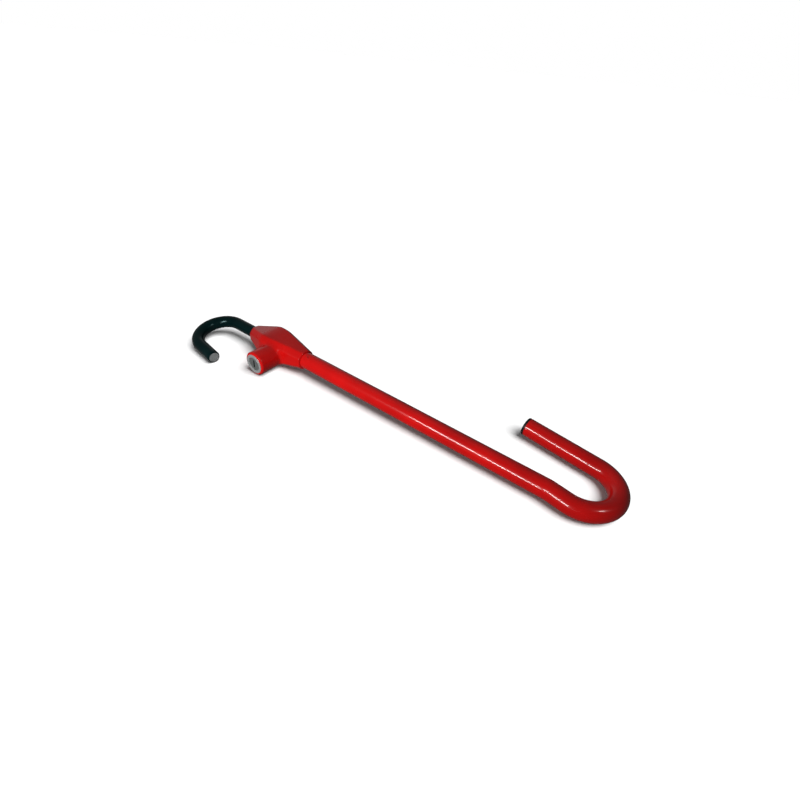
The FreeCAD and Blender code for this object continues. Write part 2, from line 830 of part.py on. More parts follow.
def make_lock_bolt():
    """The bolt: ramps that match the cam, a flange and a flat blade."""
    body = new_body("lock_bolt")
    place_on_key_axis(body, Dims.cam_base_y)
    top = Dims.cam_rise + Dims.cam_gap + Dims.bolt_flange
    blank = new_sketch(body, lift=Dims.cam_gap)
    circle(blank, Dims.cam_radius)
    pad(body, blank, top - Dims.cam_gap)
    hollow = new_sketch(body)
    circle(hollow, Dims.cam_hollow_radius)
    pocket(body, hollow, Dims.cam_rise + Dims.cam_gap, reverse=True)
    helical_cut(body, Dims.cam_hollow_radius, Dims.cam_radius,
                -(Dims.cam_rise + Dims.overrun), Dims.cam_gap, swing=-Dims.cam_lag.number)
    blade = new_sketch(body, lift=top)
    wide, tall = Dims.bolt_width / 2, Dims.bolt_height / 2
    rectangle(blade, -wide, wide, -tall, tall)
    pad(body, blade, Dims.cam_base_y - Dims.bolt_nose - top)


def make_hook_rod():
    """The grooved rod, its tail spigot and the wheel hook."""
    body = new_body("hook_rod")
    place(body, x=Dims.rod_tail_x, z=AXIS, axis=(1, 0, 0), angle=Dims.wheel_hook_roll)
    legs = [
        ("line", Dims.rod_tail_x - Dims.rod_bend_x),
        ("arc", Dims.wheel_bend_radius, Dims.wheel_bend_turn),
        ("line", Dims.wheel_tip_length),
    ]
    pipe(body, Dims.rod_radius, legs, heading=180)
    spigot = new_sketch(body, "YZ_Plane")
    circle(spigot, Dims.spigot_radius)
    pad(body, spigot, Dims.spigot_length)
    thread = new_sketch(body, "YZ_Plane", lift=Dims.spigot_length)
    circle(thread, Dims.screw_radius)
    pocket(body, thread, Dims.spigot_length - Dims.thread_gap)
    first = Dims.key_x - Dims.rod_tail_x
    foot = Dims.groove_floor_width / 2
    mouth = foot + Dims.groove_flare
    rim = Dims.rod_radius + Dims.free_gap
    section = new_sketch(body)
    outline(section, [
        (first - foot, Dims.groove_root_radius),
        (first + foot, Dims.groove_root_radius),
        (first + mouth, rim),
        (first - mouth, rim),
    ])
    groove = body.newObject("PartDesign::Groove", "rod_groove")
    groove.Profile = section
    groove.ReferenceAxis = (section, ["H_Axis"])
    groove.Angle = 360.0
    doc.recompute()
    row = body.newObject("PartDesign::LinearPattern", "rod_grooves")
    row.Originals = [groove]
    row.Direction = (datum(body, "X_Axis"), [""])
    bind(row, "Length", Dims.groove_pitch * (Dims.groove_count - 1))
    row.Occurrences = int(Dims.groove_count.number)
    body.Tip = row
    doc.recompute()


def make_hook_sleeve():
    """The vinyl sleeve over the rod, open at the tip where the steel shows."""
    body = new_body("hook_sleeve")
    place(body, x=Dims.sleeve_end_x, z=AXIS, axis=(1, 0, 0), angle=Dims.wheel_hook_roll)
    legs = [
        ("line", Dims.sleeve_end_x - Dims.rod_bend_x),
        ("arc", Dims.wheel_bend_radius, Dims.wheel_bend_turn),
        ("line", Dims.wheel_tip_length),
    ]
    pipe(body, Dims.sleeve_radius, legs, heading=180, bore=Dims.rod_radius)


def make_tail():
    """The guide bush on the rod's inner end, with its washer and screw."""
    gap = Dims.sliding_gap * 2
    length = Dims.spigot_length - gap * 2
    ring("tail_bush", Dims.rod_tail_x + gap, length, Dims.spigot_radius + Dims.running_gap,
         Dims.tube_bore_radius - Dims.sliding_gap, Dims.face_edge * 2)
    end = Dims.rod_tail_x + Dims.spigot_length
    ring("tail_washer", end, Dims.washer_thickness, Dims.screw_radius, Dims.washer_radius,
         Dims.free_gap)
    body = new_body("tail_screw")
    place(body, x=end + Dims.washer_thickness, z=AXIS)
    screw(body, Dims.screw_radius, Dims.screw_length, Dims.screw_head_radius,
          Dims.screw_head_height, Dims.screw_socket_radius, "XY_Plane")


def make_bolt_spring():
    """A flat coil round the bolt's blade, at the height it has when the bolt is home."""
    wire = Dims.spring_wire_radius.number
    middle = Dims.spring_radius.number - wire
    pitch = Dims.spring_pitch.number
    height = pitch * Dims.spring_turns.number
    coil = Part.makeLongHelix(pitch, height, middle)
    centre = FreeCAD.Vector(middle, 0, 0)
    section = Part.Wire([Part.makeCircle(wire, centre, FreeCAD.Vector(0, 1, 0))])
    spring = doc.addObject("Part::Feature", "bolt_spring")
    spring.Shape = Part.Wire(coil.Edges).makePipeShell([section], True, True)
    spring.Label = "bolt_spring"
    end = Dims.bolt_bore_floor + Dims.spring_pitch * Dims.spring_turns
    place_on_key_axis(spring, end + Dims.spring_wire_radius + Dims.running_gap)
    subparts.append(spring)


def finish():
    """Check every object, then write one file for each sub-part."""
    doc.recompute()
    for item in doc.Objects:
        if "Invalid" in item.State or "Error" in item.State:
            raise RuntimeError("%s failed: %s" % (item.Label, item.State))
    for part in subparts:
        shape = part.Shape
        if shape.isNull() or not shape.isValid():
            raise RuntimeError("%s has no valid shape" % part.Label)
    os.makedirs("parts", exist_ok=True)
    for part in subparts:
        part.Shape.exportStep("parts/%s.step" % part.Label)
        box = part.Shape.BoundBox
        print("%-24s %9.1f mm3  %2d solids  x %.1f..%.1f y %.1f..%.1f z %.1f..%.1f" % (
            part.Label, part.Shape.Volume, len(part.Shape.Solids),
            box.XMin, box.XMax, box.YMin, box.YMax, box.ZMin, box.ZMax))


make_tube()
make_tube_end_cap()
make_stop_rivet()
make_housing()
make_mouth()
make_anchor_pins()
make_cylinder_shell()
make_cylinder_bezel()
make_retaining_pin()
make_plug()
make_plug_clip()
make_wafers()
make_plug_cam()
make_cam_screw()
make_lock_bolt()
make_bolt_spring()
make_hook_rod()
make_hook_sleeve()
make_tail()
finish()
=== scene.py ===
import json
import math

import bmesh
import bpy
import numpy as np
from mathutils import Matrix, Vector, noise


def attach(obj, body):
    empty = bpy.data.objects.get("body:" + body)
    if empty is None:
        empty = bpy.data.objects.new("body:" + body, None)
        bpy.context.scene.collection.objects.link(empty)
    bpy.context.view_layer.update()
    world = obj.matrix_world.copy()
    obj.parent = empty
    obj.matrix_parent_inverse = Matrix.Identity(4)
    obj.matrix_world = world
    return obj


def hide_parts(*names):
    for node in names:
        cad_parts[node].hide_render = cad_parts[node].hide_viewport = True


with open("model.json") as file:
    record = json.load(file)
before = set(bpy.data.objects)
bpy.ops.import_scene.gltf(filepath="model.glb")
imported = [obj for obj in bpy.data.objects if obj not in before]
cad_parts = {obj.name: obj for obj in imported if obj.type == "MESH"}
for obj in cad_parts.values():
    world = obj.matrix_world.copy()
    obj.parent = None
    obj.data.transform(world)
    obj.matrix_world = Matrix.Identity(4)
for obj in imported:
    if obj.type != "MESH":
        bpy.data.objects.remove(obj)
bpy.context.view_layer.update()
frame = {"nodes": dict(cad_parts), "record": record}

# Telescoping steering wheel lock, in metres, in the frame's axes:
# +X along the rod towards the pedal hook, -Y the key's side, +Z up.

MM = 0.001

AXIS_Z = 18 * MM        # height of the rod's and tube's common axis

# the sleeved rod and its wheel hook
ROD_RADIUS = 6.0 * MM
SLEEVE_RADIUS = 7.5 * MM
SLEEVE_END_X = -32 * MM
SLEEVE_EDGE = 0.8 * MM          # rounding of the sleeve's two ends
SLEEVE_LUMP = 0.08 * MM         # how far its skin wanders
SLEEVE_CREASE = 0.07 * MM       # depth and pitch of the creases inside its bend
SLEEVE_CREASE_PITCH = 5.2 * MM
ROD_BEND_X = -70.8 * MM
WHEEL_BEND_RADIUS = 28.5 * MM
WHEEL_BEND_TURN = math.radians(170.9)
WHEEL_TIP_LENGTH = 33.2 * MM
WHEEL_HOOK_ROLL = math.radians(10.5)

# the tube, its jog and its pedal hook
TUBE_RADIUS = 10 * MM
TUBE_BORE_RADIUS = 7.5 * MM
TUBE_START_X = 22 * MM
TUBE_STRAIGHT = 338 * MM
JOG_RADIUS = 44 * MM
JOG_TURN = math.radians(9.2)
JOG_STRAIGHT = 16 * MM
PEDAL_BEND_RADIUS = 32.3 * MM
PEDAL_BEND_TURN = math.radians(181.6)
PEDAL_TIP_LENGTH = 79.5 * MM
TUBE_OVAL = 0.012               # how far the bends are out of round

# the cap in the tube's end
CAP_PLUG = 10 * MM
CAP_THICK = 2.9 * MM
CAP_EDGE = 0.8 * MM
CAP_DOME = 0.25 * MM
CAP_RIBS = 4
CAP_RIB_PITCH = 2.2 * MM

# the lock housing: its mouth, its widest part and its neck
MOUTH_X = -37 * MM
MOUTH_HALF = 9.9 * MM
BELLY_HALF_LENGTH = 6 * MM
BELLY_HALF_WIDTH = 20 * MM
BELLY_HALF_HEIGHT = 17.5 * MM
BELLY_DROP = 0.5 * MM
BELLY_BEVEL = 5.5 * MM
NECK_X = 53 * MM
NECK_HALF = 11.6 * MM
FACET_SOFTNESS = 0.45 * MM
MOUTH_BORE_RADIUS = 8.5 * MM
MOUTH_BORE_END = -30 * MM
BUSH_SEAT_RADIUS = 8.0 * MM
BUSH_SEAT_END = -16 * MM
ROD_PASSAGE_RADIUS = 6.75 * MM
TUBE_SOCKET_RADIUS = 10.15 * MM

# the key barrel and its bores
KEY_X = 12 * MM
KEY_Z = 14.6 * MM
BARREL_RADIUS = 14.6 * MM
BARREL_FACE = 44.5 * MM
BARREL_ROUNDING = 2.2 * MM
BARREL_FILLET = 3.6 * MM
PLUG_FACE = 44.7 * MM
BEZEL_FACE = 45.3 * MM
BEZEL_INNER = 8.45 * MM
BEZEL_DEPTH = 2 * MM
BEZEL_ROLL = 0.35 * MM
CYLINDER_BORE_RADIUS = 10.2 * MM
CYLINDER_BORE_END = -24.6 * MM
BOLT_BORE_RADIUS = 6.5 * MM
BOLT_BORE_END = -12 * MM
BOLT_SLOT_SIZE = (5 * MM, 14 * MM, 9.6 * MM)
BOLT_SLOT_Y = -7 * MM

# upright pin holes, open below: x, y, radius and top
PIN_HOLES = [
    (KEY_X + 10 * MM, -30 * MM, 1.25 * MM, 17 * MM),     # keeps the lock cylinder
    (31 * MM, 9.4 * MM, 1.5 * MM, 24.5 * MM),            # these two keep the tube
    (31 * MM, -9.4 * MM, 1.5 * MM, 24.5 * MM),
]

FIT = 0.03 * MM         # gap that keeps faces of neighbouring pieces apart
ROUND = 96              # segments round a bar
STEP = 1.5 * MM         # length of one ring of a swept bar
CELL = 0.8 * MM         # size of the housing's mesh
MARGIN = 1.7 * MM       # space left round the housing for its mesh
BEYOND = 5 * MM         # how far a cutter sticks out of the housing


# ---------------------------------------------------------------- node materials

def new_material(name):
    """An empty node material with its Principled shader and object coordinates."""
    material = bpy.data.materials.new(name)
    material.use_nodes = True
    tree = material.node_tree
    shader = tree.nodes["Principled BSDF"]
    place = tree.nodes.new("ShaderNodeTexCoord")
    return material, tree, shader, place.outputs["Object"]


def add_noise(tree, vector, scale, detail=2.0, stretch=None):
    """A noise value over the object, stretched along its axes if asked."""
    if stretch:
        mapping = tree.nodes.new("ShaderNodeMapping")
        mapping.inputs["Scale"].default_value = stretch
        tree.links.new(vector, mapping.inputs["Vector"])
        vector = mapping.outputs["Vector"]
    node = tree.nodes.new("ShaderNodeTexNoise")
    node.inputs["Scale"].default_value = scale
    node.inputs["Detail"].default_value = detail
    tree.links.new(vector, node.inputs["Vector"])
    return node.outputs["Fac"]


def add_ramp(tree, factor, stops):
    """A colour ramp; each stop is (position, colour)."""
    ramp = tree.nodes.new("ShaderNodeValToRGB")
    ramp.color_ramp.elements[0].position = stops[0][0]
    ramp.color_ramp.elements[1].position = stops[-1][0]
    for position, _ in stops[1:-1]:
        ramp.color_ramp.elements.new(position)
    for element, (_, colour) in zip(ramp.color_ramp.elements, stops):
        element.color = (*colour, 1.0)
    tree.links.new(factor, ramp.inputs["Fac"])
    return ramp.outputs["Color"]


def add_range(tree, factor, low, high):
    """Map a 0 to 1 value to a range."""
    node = tree.nodes.new("ShaderNodeMapRange")
    node.inputs["To Min"].default_value = low
    node.inputs["To Max"].default_value = high
    tree.links.new(factor, node.inputs["Value"])
    return node.outputs["Result"]


def add_bump(tree, shader, height, distance, strength=1.0):
    """Feed a height into the shader's normal, on top of what is there."""
    node = tree.nodes.new("ShaderNodeBump")
    node.inputs["Strength"].default_value = strength
    node.inputs["Distance"].default_value = distance
    tree.links.new(height, node.inputs["Height"])
    if shader.inputs["Normal"].is_linked:
        tree.links.new(shader.inputs["Normal"].links[0].from_socket, node.inputs["Normal"])
    tree.links.new(node.outputs["Normal"], shader.inputs["Normal"])


def shade(colour, factor):
    """A colour made darker or lighter."""
    return tuple(channel * factor for channel in colour)


def red_paint(name, colour, peel, coat):
    """Gloss paint: slight colour drift, orange peel and a clear top coat."""
    material, tree, shader, place = new_material(name)
    drift = add_noise(tree, place, 28, 3)
    stops = [(0.3, shade(colour, 0.86)), (0.55, colour), (0.75, shade(colour, 1.1))]
    tree.links.new(add_ramp(tree, drift, stops), shader.inputs["Base Color"])
    smudge = add_noise(tree, place, 60, 4)
    tree.links.new(add_range(tree, smudge, 0.20, 0.32), shader.inputs["Roughness"])
    shader.inputs["Specular IOR Level"].default_value = 0.2
    shader.inputs["Coat Weight"].default_value = coat
    shader.inputs["Coat Roughness"].default_value = 0.05
    add_bump(tree, shader, add_noise(tree, place, 700, 2), peel)
    add_bump(tree, shader, add_noise(tree, place, 120, 2), peel * 0.7)
    return material


def black_vinyl():
    """Dipped soft vinyl: near black with a faint cool tone and a fine skin."""
    material, tree, shader, place = new_material("black_vinyl")
    drift = add_noise(tree, place, 45, 4)
    tree.links.new(add_ramp(tree, drift, [(0.3, (0.0005, 0.0070, 0.0075)),
                                          (0.7, (0.0015, 0.0125, 0.0130))]),
                   shader.inputs["Base Color"])
    tree.links.new(add_range(tree, add_noise(tree, place, 130, 5), 0.14, 0.24),
                   shader.inputs["Roughness"])
    shader.inputs["Specular IOR Level"].default_value = 0.3
    shader.inputs["Specular Tint"].default_value = (0.60, 0.95, 0.95, 1)
    add_bump(tree, shader, add_noise(tree, place, 900, 3), 0.00003)
    add_bump(tree, shader, add_noise(tree, place, 160, 2), 0.00012)
    return material


def black_plastic():
    """Moulded plastic, dull and near black."""
    material, tree, shader, place = new_material("black_plastic")
    drift = add_noise(tree, place, 300, 4)
    tree.links.new(add_ramp(tree, drift, [(0.3, (0.006, 0.006, 0.006)),
                                          (0.7, (0.012, 0.012, 0.012))]),
                   shader.inputs["Base Color"])
    shader.inputs["Specular IOR Level"].default_value = 0.25
    tree.links.new(add_range(tree, drift, 0.42, 0.55), shader.inputs["Roughness"])
    add_bump(tree, shader, add_noise(tree, place, 1600, 2), 0.00002)
    return material


def metal(name, dark, light, rough, grain=(1, 1, 1), scale=400, scratch=0.00001, satin=0.0):
    """Bare metal with a directional grain; a satin skin scatters more light."""
    material, tree, shader, place = new_material(name)
    shader.inputs["Metallic"].default_value = 1.0 - satin
    lines = add_noise(tree, place, scale, 4, stretch=grain)
    tree.links.new(add_ramp(tree, lines, [(0.3, dark), (0.7, light)]), shader.inputs["Base Color"])
    tree.links.new(add_range(tree, add_noise(tree, place, 90, 3), rough[0], rough[1]),
                   shader.inputs["Roughness"])
    add_bump(tree, shader, lines, scratch)
    return material


def keyway_shaded_metal(name, bright, face_y):
    """Satin metal with painted shade: its colour turns near black behind its face at this y,
    standing in for the shade down in the keyway.
    """
    material, tree, shader, place = new_material(name)
    split = tree.nodes.new("ShaderNodeSeparateXYZ")
    tree.links.new(place, split.inputs["Vector"])
    depth = tree.nodes.new("ShaderNodeMapRange")
    depth.inputs["From Min"].default_value = face_y + 0.15 * MM
    depth.inputs["From Max"].default_value = face_y + 0.7 * MM
    tree.links.new(split.outputs["Y"], depth.inputs["Value"])
    mix = tree.nodes.new("ShaderNodeMix")
    mix.data_type = "RGBA"
    tree.links.new(depth.outputs["Result"], mix.inputs["Factor"])
    lines = add_noise(tree, place, 500, 4)
    tree.links.new(add_ramp(tree, lines, [(0.3, shade(bright, 0.75)), (0.7, bright)]),
                   mix.inputs["A"])
    # painted shade: near black behind the face, where the keyway lies in shade
    mix.inputs["B"].default_value = (0.004, 0.004, 0.004, 1)
    tree.links.new(mix.outputs["Result"], shader.inputs["Base Color"])
    tree.links.new(add_range(tree, add_noise(tree, place, 90, 3), 0.22, 0.40),
                   shader.inputs["Roughness"])
    shader.inputs["Metallic"].default_value = 0.8
    add_bump(tree, shader, lines, 0.00001)
    return material


def bush_nylon():
    """Natural nylon, ivory and slightly translucent."""
    material, tree, shader, place = new_material("bush_nylon")
    drift = add_noise(tree, place, 120, 3)
    tree.links.new(add_ramp(tree, drift, [(0.3, (0.55, 0.53, 0.45)), (0.7, (0.68, 0.66, 0.58))]),
                   shader.inputs["Base Color"])
    tree.links.new(add_range(tree, drift, 0.4, 0.55), shader.inputs["Roughness"])
    shader.inputs["Subsurface Weight"].default_value = 0.1
    add_bump(tree, shader, add_noise(tree, place, 900, 2), 0.00002)
    return material


TUBE_RED = (0.60, 0.0045, 0.0040)
HOUSING_RED = (0.56, 0.0045, 0.0040)

materials = {
    "tube_red": red_paint("tube_red", TUBE_RED, 0.000004, 0.6),
    "housing_red": red_paint("housing_red", HOUSING_RED, 0.00002, 0.6),
    "black_vinyl": black_vinyl(),
    "black_plastic": black_plastic(),
    "rod_steel": metal("rod_steel", (0.50, 0.54, 0.54), (0.80, 0.85, 0.84), (0.20, 0.34),
                       grain=(14, 1, 1), satin=0.35),
    "chrome": metal("chrome", (0.60, 0.61, 0.61), (0.78, 0.79, 0.79), (0.20, 0.34), satin=0.35),
    "zinc": metal("zinc", (0.38, 0.39, 0.40), (0.52, 0.53, 0.54), (0.40, 0.55), scale=200,
                  satin=0.3),
    "brass": metal("brass", (0.30, 0.20, 0.08), (0.45, 0.32, 0.14), (0.26, 0.40)),
    "spring_steel": metal("spring_steel", (0.20, 0.20, 0.20), (0.34, 0.34, 0.34), (0.28, 0.42)),
    "bush_plastic": bush_nylon(),
}


# ---------------------------------------------------------------- mesh helpers

def finish_piece(piece, body, slot):
    """Give a new piece the material of its slot, and its body."""
    piece.data.materials.clear()
    piece.data.materials.append(materials[slot])
    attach(piece, body)
    return piece


def new_piece(name, mesh):
    """An object with this mesh, in the scene."""
    piece = bpy.data.objects.new(name, mesh)
    bpy.context.scene.collection.objects.link(piece)
    return piece


def mesh_of_rings(name, rings):
    """A closed skin through rings of equal length; the last ring joins the first."""
    mesh = bpy.data.meshes.new(name)
    count = len(rings[0])
    vertices = [point for ring in rings for point in ring]
    faces = []
    for row in range(len(rings)):
        here, there = row * count, (row + 1) % len(rings) * count
        for column in range(count):
            side = (column + 1) % count
            faces.append((here + column, here + side, there + side, there + column))
    mesh.from_pydata(vertices, [], faces)
    for polygon in mesh.polygons:
        polygon.use_smooth = True
    build = bmesh.new()
    build.from_mesh(mesh)
    bmesh.ops.recalc_face_normals(build, faces=build.faces)
    build.to_mesh(mesh)
    build.free()
    return mesh


def lathe(name, profile, origin, axis, segments=ROUND):
    """Turn a closed profile of (along, radius) points about an axis.
    A radius of zero at both ends closes the piece on its axis."""
    origin, axis = Vector(origin), Vector(axis).normalized()
    side = axis.orthogonal().normalized()
    other = axis.cross(side)
    mesh = bpy.data.meshes.new(name)
    build = bmesh.new()
    rings = []
    for along, radius in profile:
        centre = origin + axis * along
        if radius < 1e-9:
            rings.append([build.verts.new(centre)])
            continue
        ring = []
        for index in range(segments):
            angle = 2 * math.pi * index / segments
            ring.append(build.verts.new(
                centre + (side * math.cos(angle) + other * math.sin(angle)) * radius))
        rings.append(ring)
    pairs = list(zip(rings, rings[1:]))
    if len(rings[0]) > 1:
        pairs.append((rings[-1], rings[0]))
    for first, second in pairs:
        for index in range(segments):
            following = (index + 1) % segments
            if len(first) == 1:
                build.faces.new((first[0], second[index], second[following]))
            elif len(second) == 1:
                build.faces.new((first[index], second[0], first[following]))
            else:
                build.faces.new((first[index], second[index], second[following],
                                 first[following]))
    for face in build.faces:
        face.smooth = True
    bmesh.ops.recalc_face_normals(build, faces=build.faces)
    build.to_mesh(mesh)
    build.free()
    return new_piece(name, mesh)


def sharpen(piece, degrees=35):
    """Shade smooth, but keep edges sharper than the angle."""
    build = bmesh.new()
    build.from_mesh(piece.data)
    for edge in build.edges:
        if len(edge.link_faces) == 2 and edge.calc_face_angle() > math.radians(degrees):
            edge.smooth = False
    build.to_mesh(piece.data)
    build.free()
    return piece


def bent_line(legs, heading):
    """Points along tangent straights and arcs in the XY plane, with for each its
    forward direction and how far into a bend it is (0 on a straight, 1 mid-bend)."""
    point, angle = Vector((0, 0, 0)), heading
    rows = []
    for leg in legs:
        forward = Vector((math.cos(angle), math.sin(angle), 0))
        length = leg[1] if leg[0] == "line" else abs(leg[1] * leg[2])
        steps = max(2, round(length / STEP))
        for index in range(steps):
            share = index / steps
            if leg[0] == "line":
                rows.append((point + forward * (length * share), forward, 0.0))
                continue
            turned = leg[2] * share
            spot, way = turn_by(point, angle, leg[1], turned)
            rows.append((spot, way, min(1.0, share * 6, (1 - share) * 6)))
        if leg[0] == "line":
            point = point + forward * length
        else:
            point, _ = turn_by(point, angle, leg[1], leg[2])
            angle += leg[2]
    rows.append((point, Vector((math.cos(angle), math.sin(angle), 0)), 0.0))
    return rows


def turn_by(point, angle, radius, turned):
    """Where an arc of this radius has come to after turning, and its direction there."""
    side = 1 if turned >= 0 else -1
    left = Vector((-math.sin(angle), math.cos(angle), 0)) * side
    centre = point + left * radius
    spoke = Matrix.Rotation(turned, 3, "Z") @ (point - centre)
    way = angle + turned
    return centre + spoke, Vector((math.cos(way), math.sin(way), 0))


def bar_rings(rows, place, radius_at):
    """Rings round a bent line; radius_at gives a radius for each row and angle."""
    rings = []
    up = Vector((0, 0, 1))
    for index, (point, forward, bend) in enumerate(rows):
        left = up.cross(forward)
        ring = []
        for corner in range(ROUND):
            angle = 2 * math.pi * corner / ROUND
            out = left * math.cos(angle) + up * math.sin(angle)
            ring.append(place @ (point + out * radius_at(index, angle, bend)))
        rings.append(ring)
    return rings


def surface_net(field, low, high, cell):
    """Vertices and quads of the surface where a field of points is zero."""
    counts = np.ceil((high - low) / cell).astype(int) + 1
    axes = [low[k] + cell * np.arange(counts[k]) for k in range(3)]
    grid = np.stack(np.meshgrid(*axes, indexing="ij"), axis=-1)
    value = field(grid.reshape(-1, 3)).reshape(counts)
    inside = value < 0
    corners = [(i, j, k) for i in (0, 1) for j in (0, 1) for k in (0, 1)]
    cells = counts - 1

    def at_corner(array, corner):
        i, j, k = corner
        return array[i:i + cells[0], j:j + cells[1], k:k + cells[2]]

    full = sum(at_corner(inside, corner).astype(int) for corner in corners)
    mixed = (full > 0) & (full < 8)
    number = np.full(cells, -1)
    number[mixed] = np.arange(mixed.sum())
    vertices = low + (np.argwhere(mixed) + 0.5) * cell
    quads = []
    step = np.eye(3, dtype=int)
    for axis in range(3):
        one, two = (axis + 1) % 3, (axis + 2) % 3
        first = np.take(inside, range(counts[axis] - 1), axis)
        second = np.take(inside, range(1, counts[axis]), axis)
        for entering in (True, False):
            crossing = (first & ~second) if entering else (~first & second)
            spots = np.argwhere(crossing)
            keep = (spots[:, one] > 0) & (spots[:, two] > 0)
            keep &= (spots[:, one] < cells[one]) & (spots[:, two] < cells[two])
            spots = spots[keep]
            around = [spots, spots - step[one], spots - step[one] - step[two], spots - step[two]]
            if not entering:
                around = around[::-1]
            quads.append(np.stack([number[tuple(spot.T)] for spot in around], axis=1))
    return vertices, np.concatenate(quads)


def settle(field, vertices, quads, rounds=6):
    """Even out a surface net and draw its vertices onto the surface."""
    edges = np.concatenate([quads[:, [a, (a + 1) % 4]] for a in range(4)])
    count = np.bincount(edges.ravel(), minlength=len(vertices))[:, None]
    reach = 0.02 * MM
    for _ in range(rounds):
        total = np.zeros_like(vertices)
        np.add.at(total, edges[:, 0], vertices[edges[:, 1]])
        np.add.at(total, edges[:, 1], vertices[edges[:, 0]])
        vertices = total / count
        for _ in range(2):
            value = field(vertices)
            slope = np.stack([field(vertices + reach * unit) - field(vertices - reach * unit)
                              for unit in np.eye(3)], axis=1) / (2 * reach)
            slope /= np.maximum((slope ** 2).sum(axis=1, keepdims=True), 0.2)
            vertices = vertices - slope * value[:, None]
    return vertices


def cut_away(piece, cutters):
    """Take the cutters' volumes out of a piece, one after another."""
    for cutter in cutters:
        change = piece.modifiers.new("cut", "BOOLEAN")
        change.operation = "DIFFERENCE"
        change.solver = "EXACT"
        change.object = cutter
        bpy.context.view_layer.update()
        seen = piece.evaluated_get(bpy.context.evaluated_depsgraph_get())
        mesh = bpy.data.meshes.new_from_object(seen)
        piece.modifiers.clear()
        piece.data = mesh
        bpy.data.objects.remove(cutter)
    return piece


# ---------------------------------------------------------------- pieces

def tube_line():
    """The rows of the tube's axis, and the matrix that puts them in place."""
    rows = bent_line([
        ("line", TUBE_STRAIGHT),
        ("arc", JOG_RADIUS, -JOG_TURN),
        ("line", JOG_STRAIGHT),
        ("arc", PEDAL_BEND_RADIUS, PEDAL_BEND_TURN),
        ("line", PEDAL_TIP_LENGTH),
    ], 0.0)
    return rows, Matrix.Translation((TUBE_START_X, 0, AXIS_Z))


def make_tube():
    """The bent tube: slightly oval in its bends, as drawn tube is."""
    rows, place = tube_line()
    outer = bar_rings(rows, place, lambda index, angle, bend: TUBE_RADIUS * (
        1 - TUBE_OVAL * bend * math.cos(2 * angle)))
    inner = bar_rings(rows, place, lambda *at: TUBE_BORE_RADIUS)
    mesh = mesh_of_rings("tube_skin", outer + inner[::-1])
    piece = new_piece("tube_skin", mesh)
    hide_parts("j_hook_tube")
    return finish_piece(sharpen(piece), "lock_body", "tube_red")


def quarter_round(face, rim, radius, steps):
    """Profile points round an outer edge, from the face out to the rim."""
    swings = [math.pi / 2 * step / steps for step in range(steps + 1)]
    return [(face - radius + radius * math.cos(swing), rim - radius + radius * math.sin(swing))
            for swing in swings]


def make_cap():
    """The cap in the tube's open end: a soft-edged flange and a ribbed plug."""
    rows, place = tube_line()
    point, forward, _ = rows[-1]
    rim = TUBE_RADIUS - 0.05 * MM
    top, root = TUBE_BORE_RADIUS - 0.05 * MM, TUBE_BORE_RADIUS - 0.6 * MM
    seat = 0.02 * MM
    profile = [(-CAP_PLUG, 0), (-CAP_PLUG, TUBE_BORE_RADIUS - 1.0 * MM)]
    for rib in range(CAP_RIBS):
        at = -CAP_PLUG + 1.0 * MM + CAP_RIB_PITCH * rib
        profile += [(at, top), (at + 1.0 * MM, top), (at + 1.4 * MM, root)]
    profile += [(seat, root), (seat, rim)]
    profile += quarter_round(CAP_THICK, rim, CAP_EDGE, 6)[::-1]
    profile.append((CAP_THICK + CAP_DOME, 0))
    piece = lathe("cap_skin", profile, place @ point, forward)
    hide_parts("tube_end_cap")
    return finish_piece(sharpen(piece, 50), "lock_body", "black_plastic")


def make_bezel():
    """The bright ring round the key's plug: a sleeve in the bore with a rolled flange."""
    back, seat = BARREL_FACE - BEZEL_DEPTH, BARREL_FACE + FIT
    inner, sleeve = BEZEL_INNER, CYLINDER_BORE_RADIUS - FIT
    outer = BARREL_RADIUS - BARREL_ROUNDING - 0.5 * MM
    profile = [(back, inner), (BEZEL_FACE - 0.5 * MM, inner),
               (BEZEL_FACE - 0.1 * MM, inner + 0.3 * MM)]
    profile += quarter_round(BEZEL_FACE, outer, BEZEL_ROLL, 4)
    profile += [(seat, outer), (seat, sleeve), (back, sleeve)]
    piece = lathe("bezel_ring", profile, (KEY_X, 0, KEY_Z), (0, -1, 0))
    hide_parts("cylinder_bezel")
    return finish_piece(sharpen(piece, 50), "lock_body", "chrome")


def make_sleeve():
    """The soft sleeve: a little uneven, creased on the inside of its bend."""
    legs = [
        ("line", SLEEVE_END_X - ROD_BEND_X),
        ("arc", WHEEL_BEND_RADIUS, WHEEL_BEND_TURN),
        ("line", WHEEL_TIP_LENGTH),
    ]
    rows = bent_line(legs, math.pi)
    roll = Matrix.Rotation(WHEEL_HOOK_ROLL, 4, "X")
    place = Matrix.Translation((SLEEVE_END_X, 0, AXIS_Z)) @ roll
    last = len(rows) - 1

    def outside(index, angle, bend):
        point = rows[index][0]
        lumps = noise.noise(Vector((point.x, point.y, angle * 0.004)) * 90) * SLEEVE_LUMP
        inner_side = max(0.0, math.cos(angle)) ** 3
        crease = math.sin(2 * math.pi * index * STEP / SLEEVE_CREASE_PITCH) * SLEEVE_CREASE
        short = max(0.0, SLEEVE_EDGE - min(index, last - index) * STEP)
        rounding = SLEEVE_EDGE - math.sqrt(SLEEVE_EDGE ** 2 - short ** 2)
        return SLEEVE_RADIUS + lumps + crease * inner_side * bend - rounding * 0.8

    outer = bar_rings(rows, place, outside)
    inner = bar_rings(rows, place, lambda *at: ROD_RADIUS)
    mesh = mesh_of_rings("sleeve_skin", outer + inner[::-1])
    piece = new_piece("sleeve_skin", mesh)
    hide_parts("hook_sleeve")
    return finish_piece(sharpen(piece, 50), "wheel_hook", "black_vinyl")


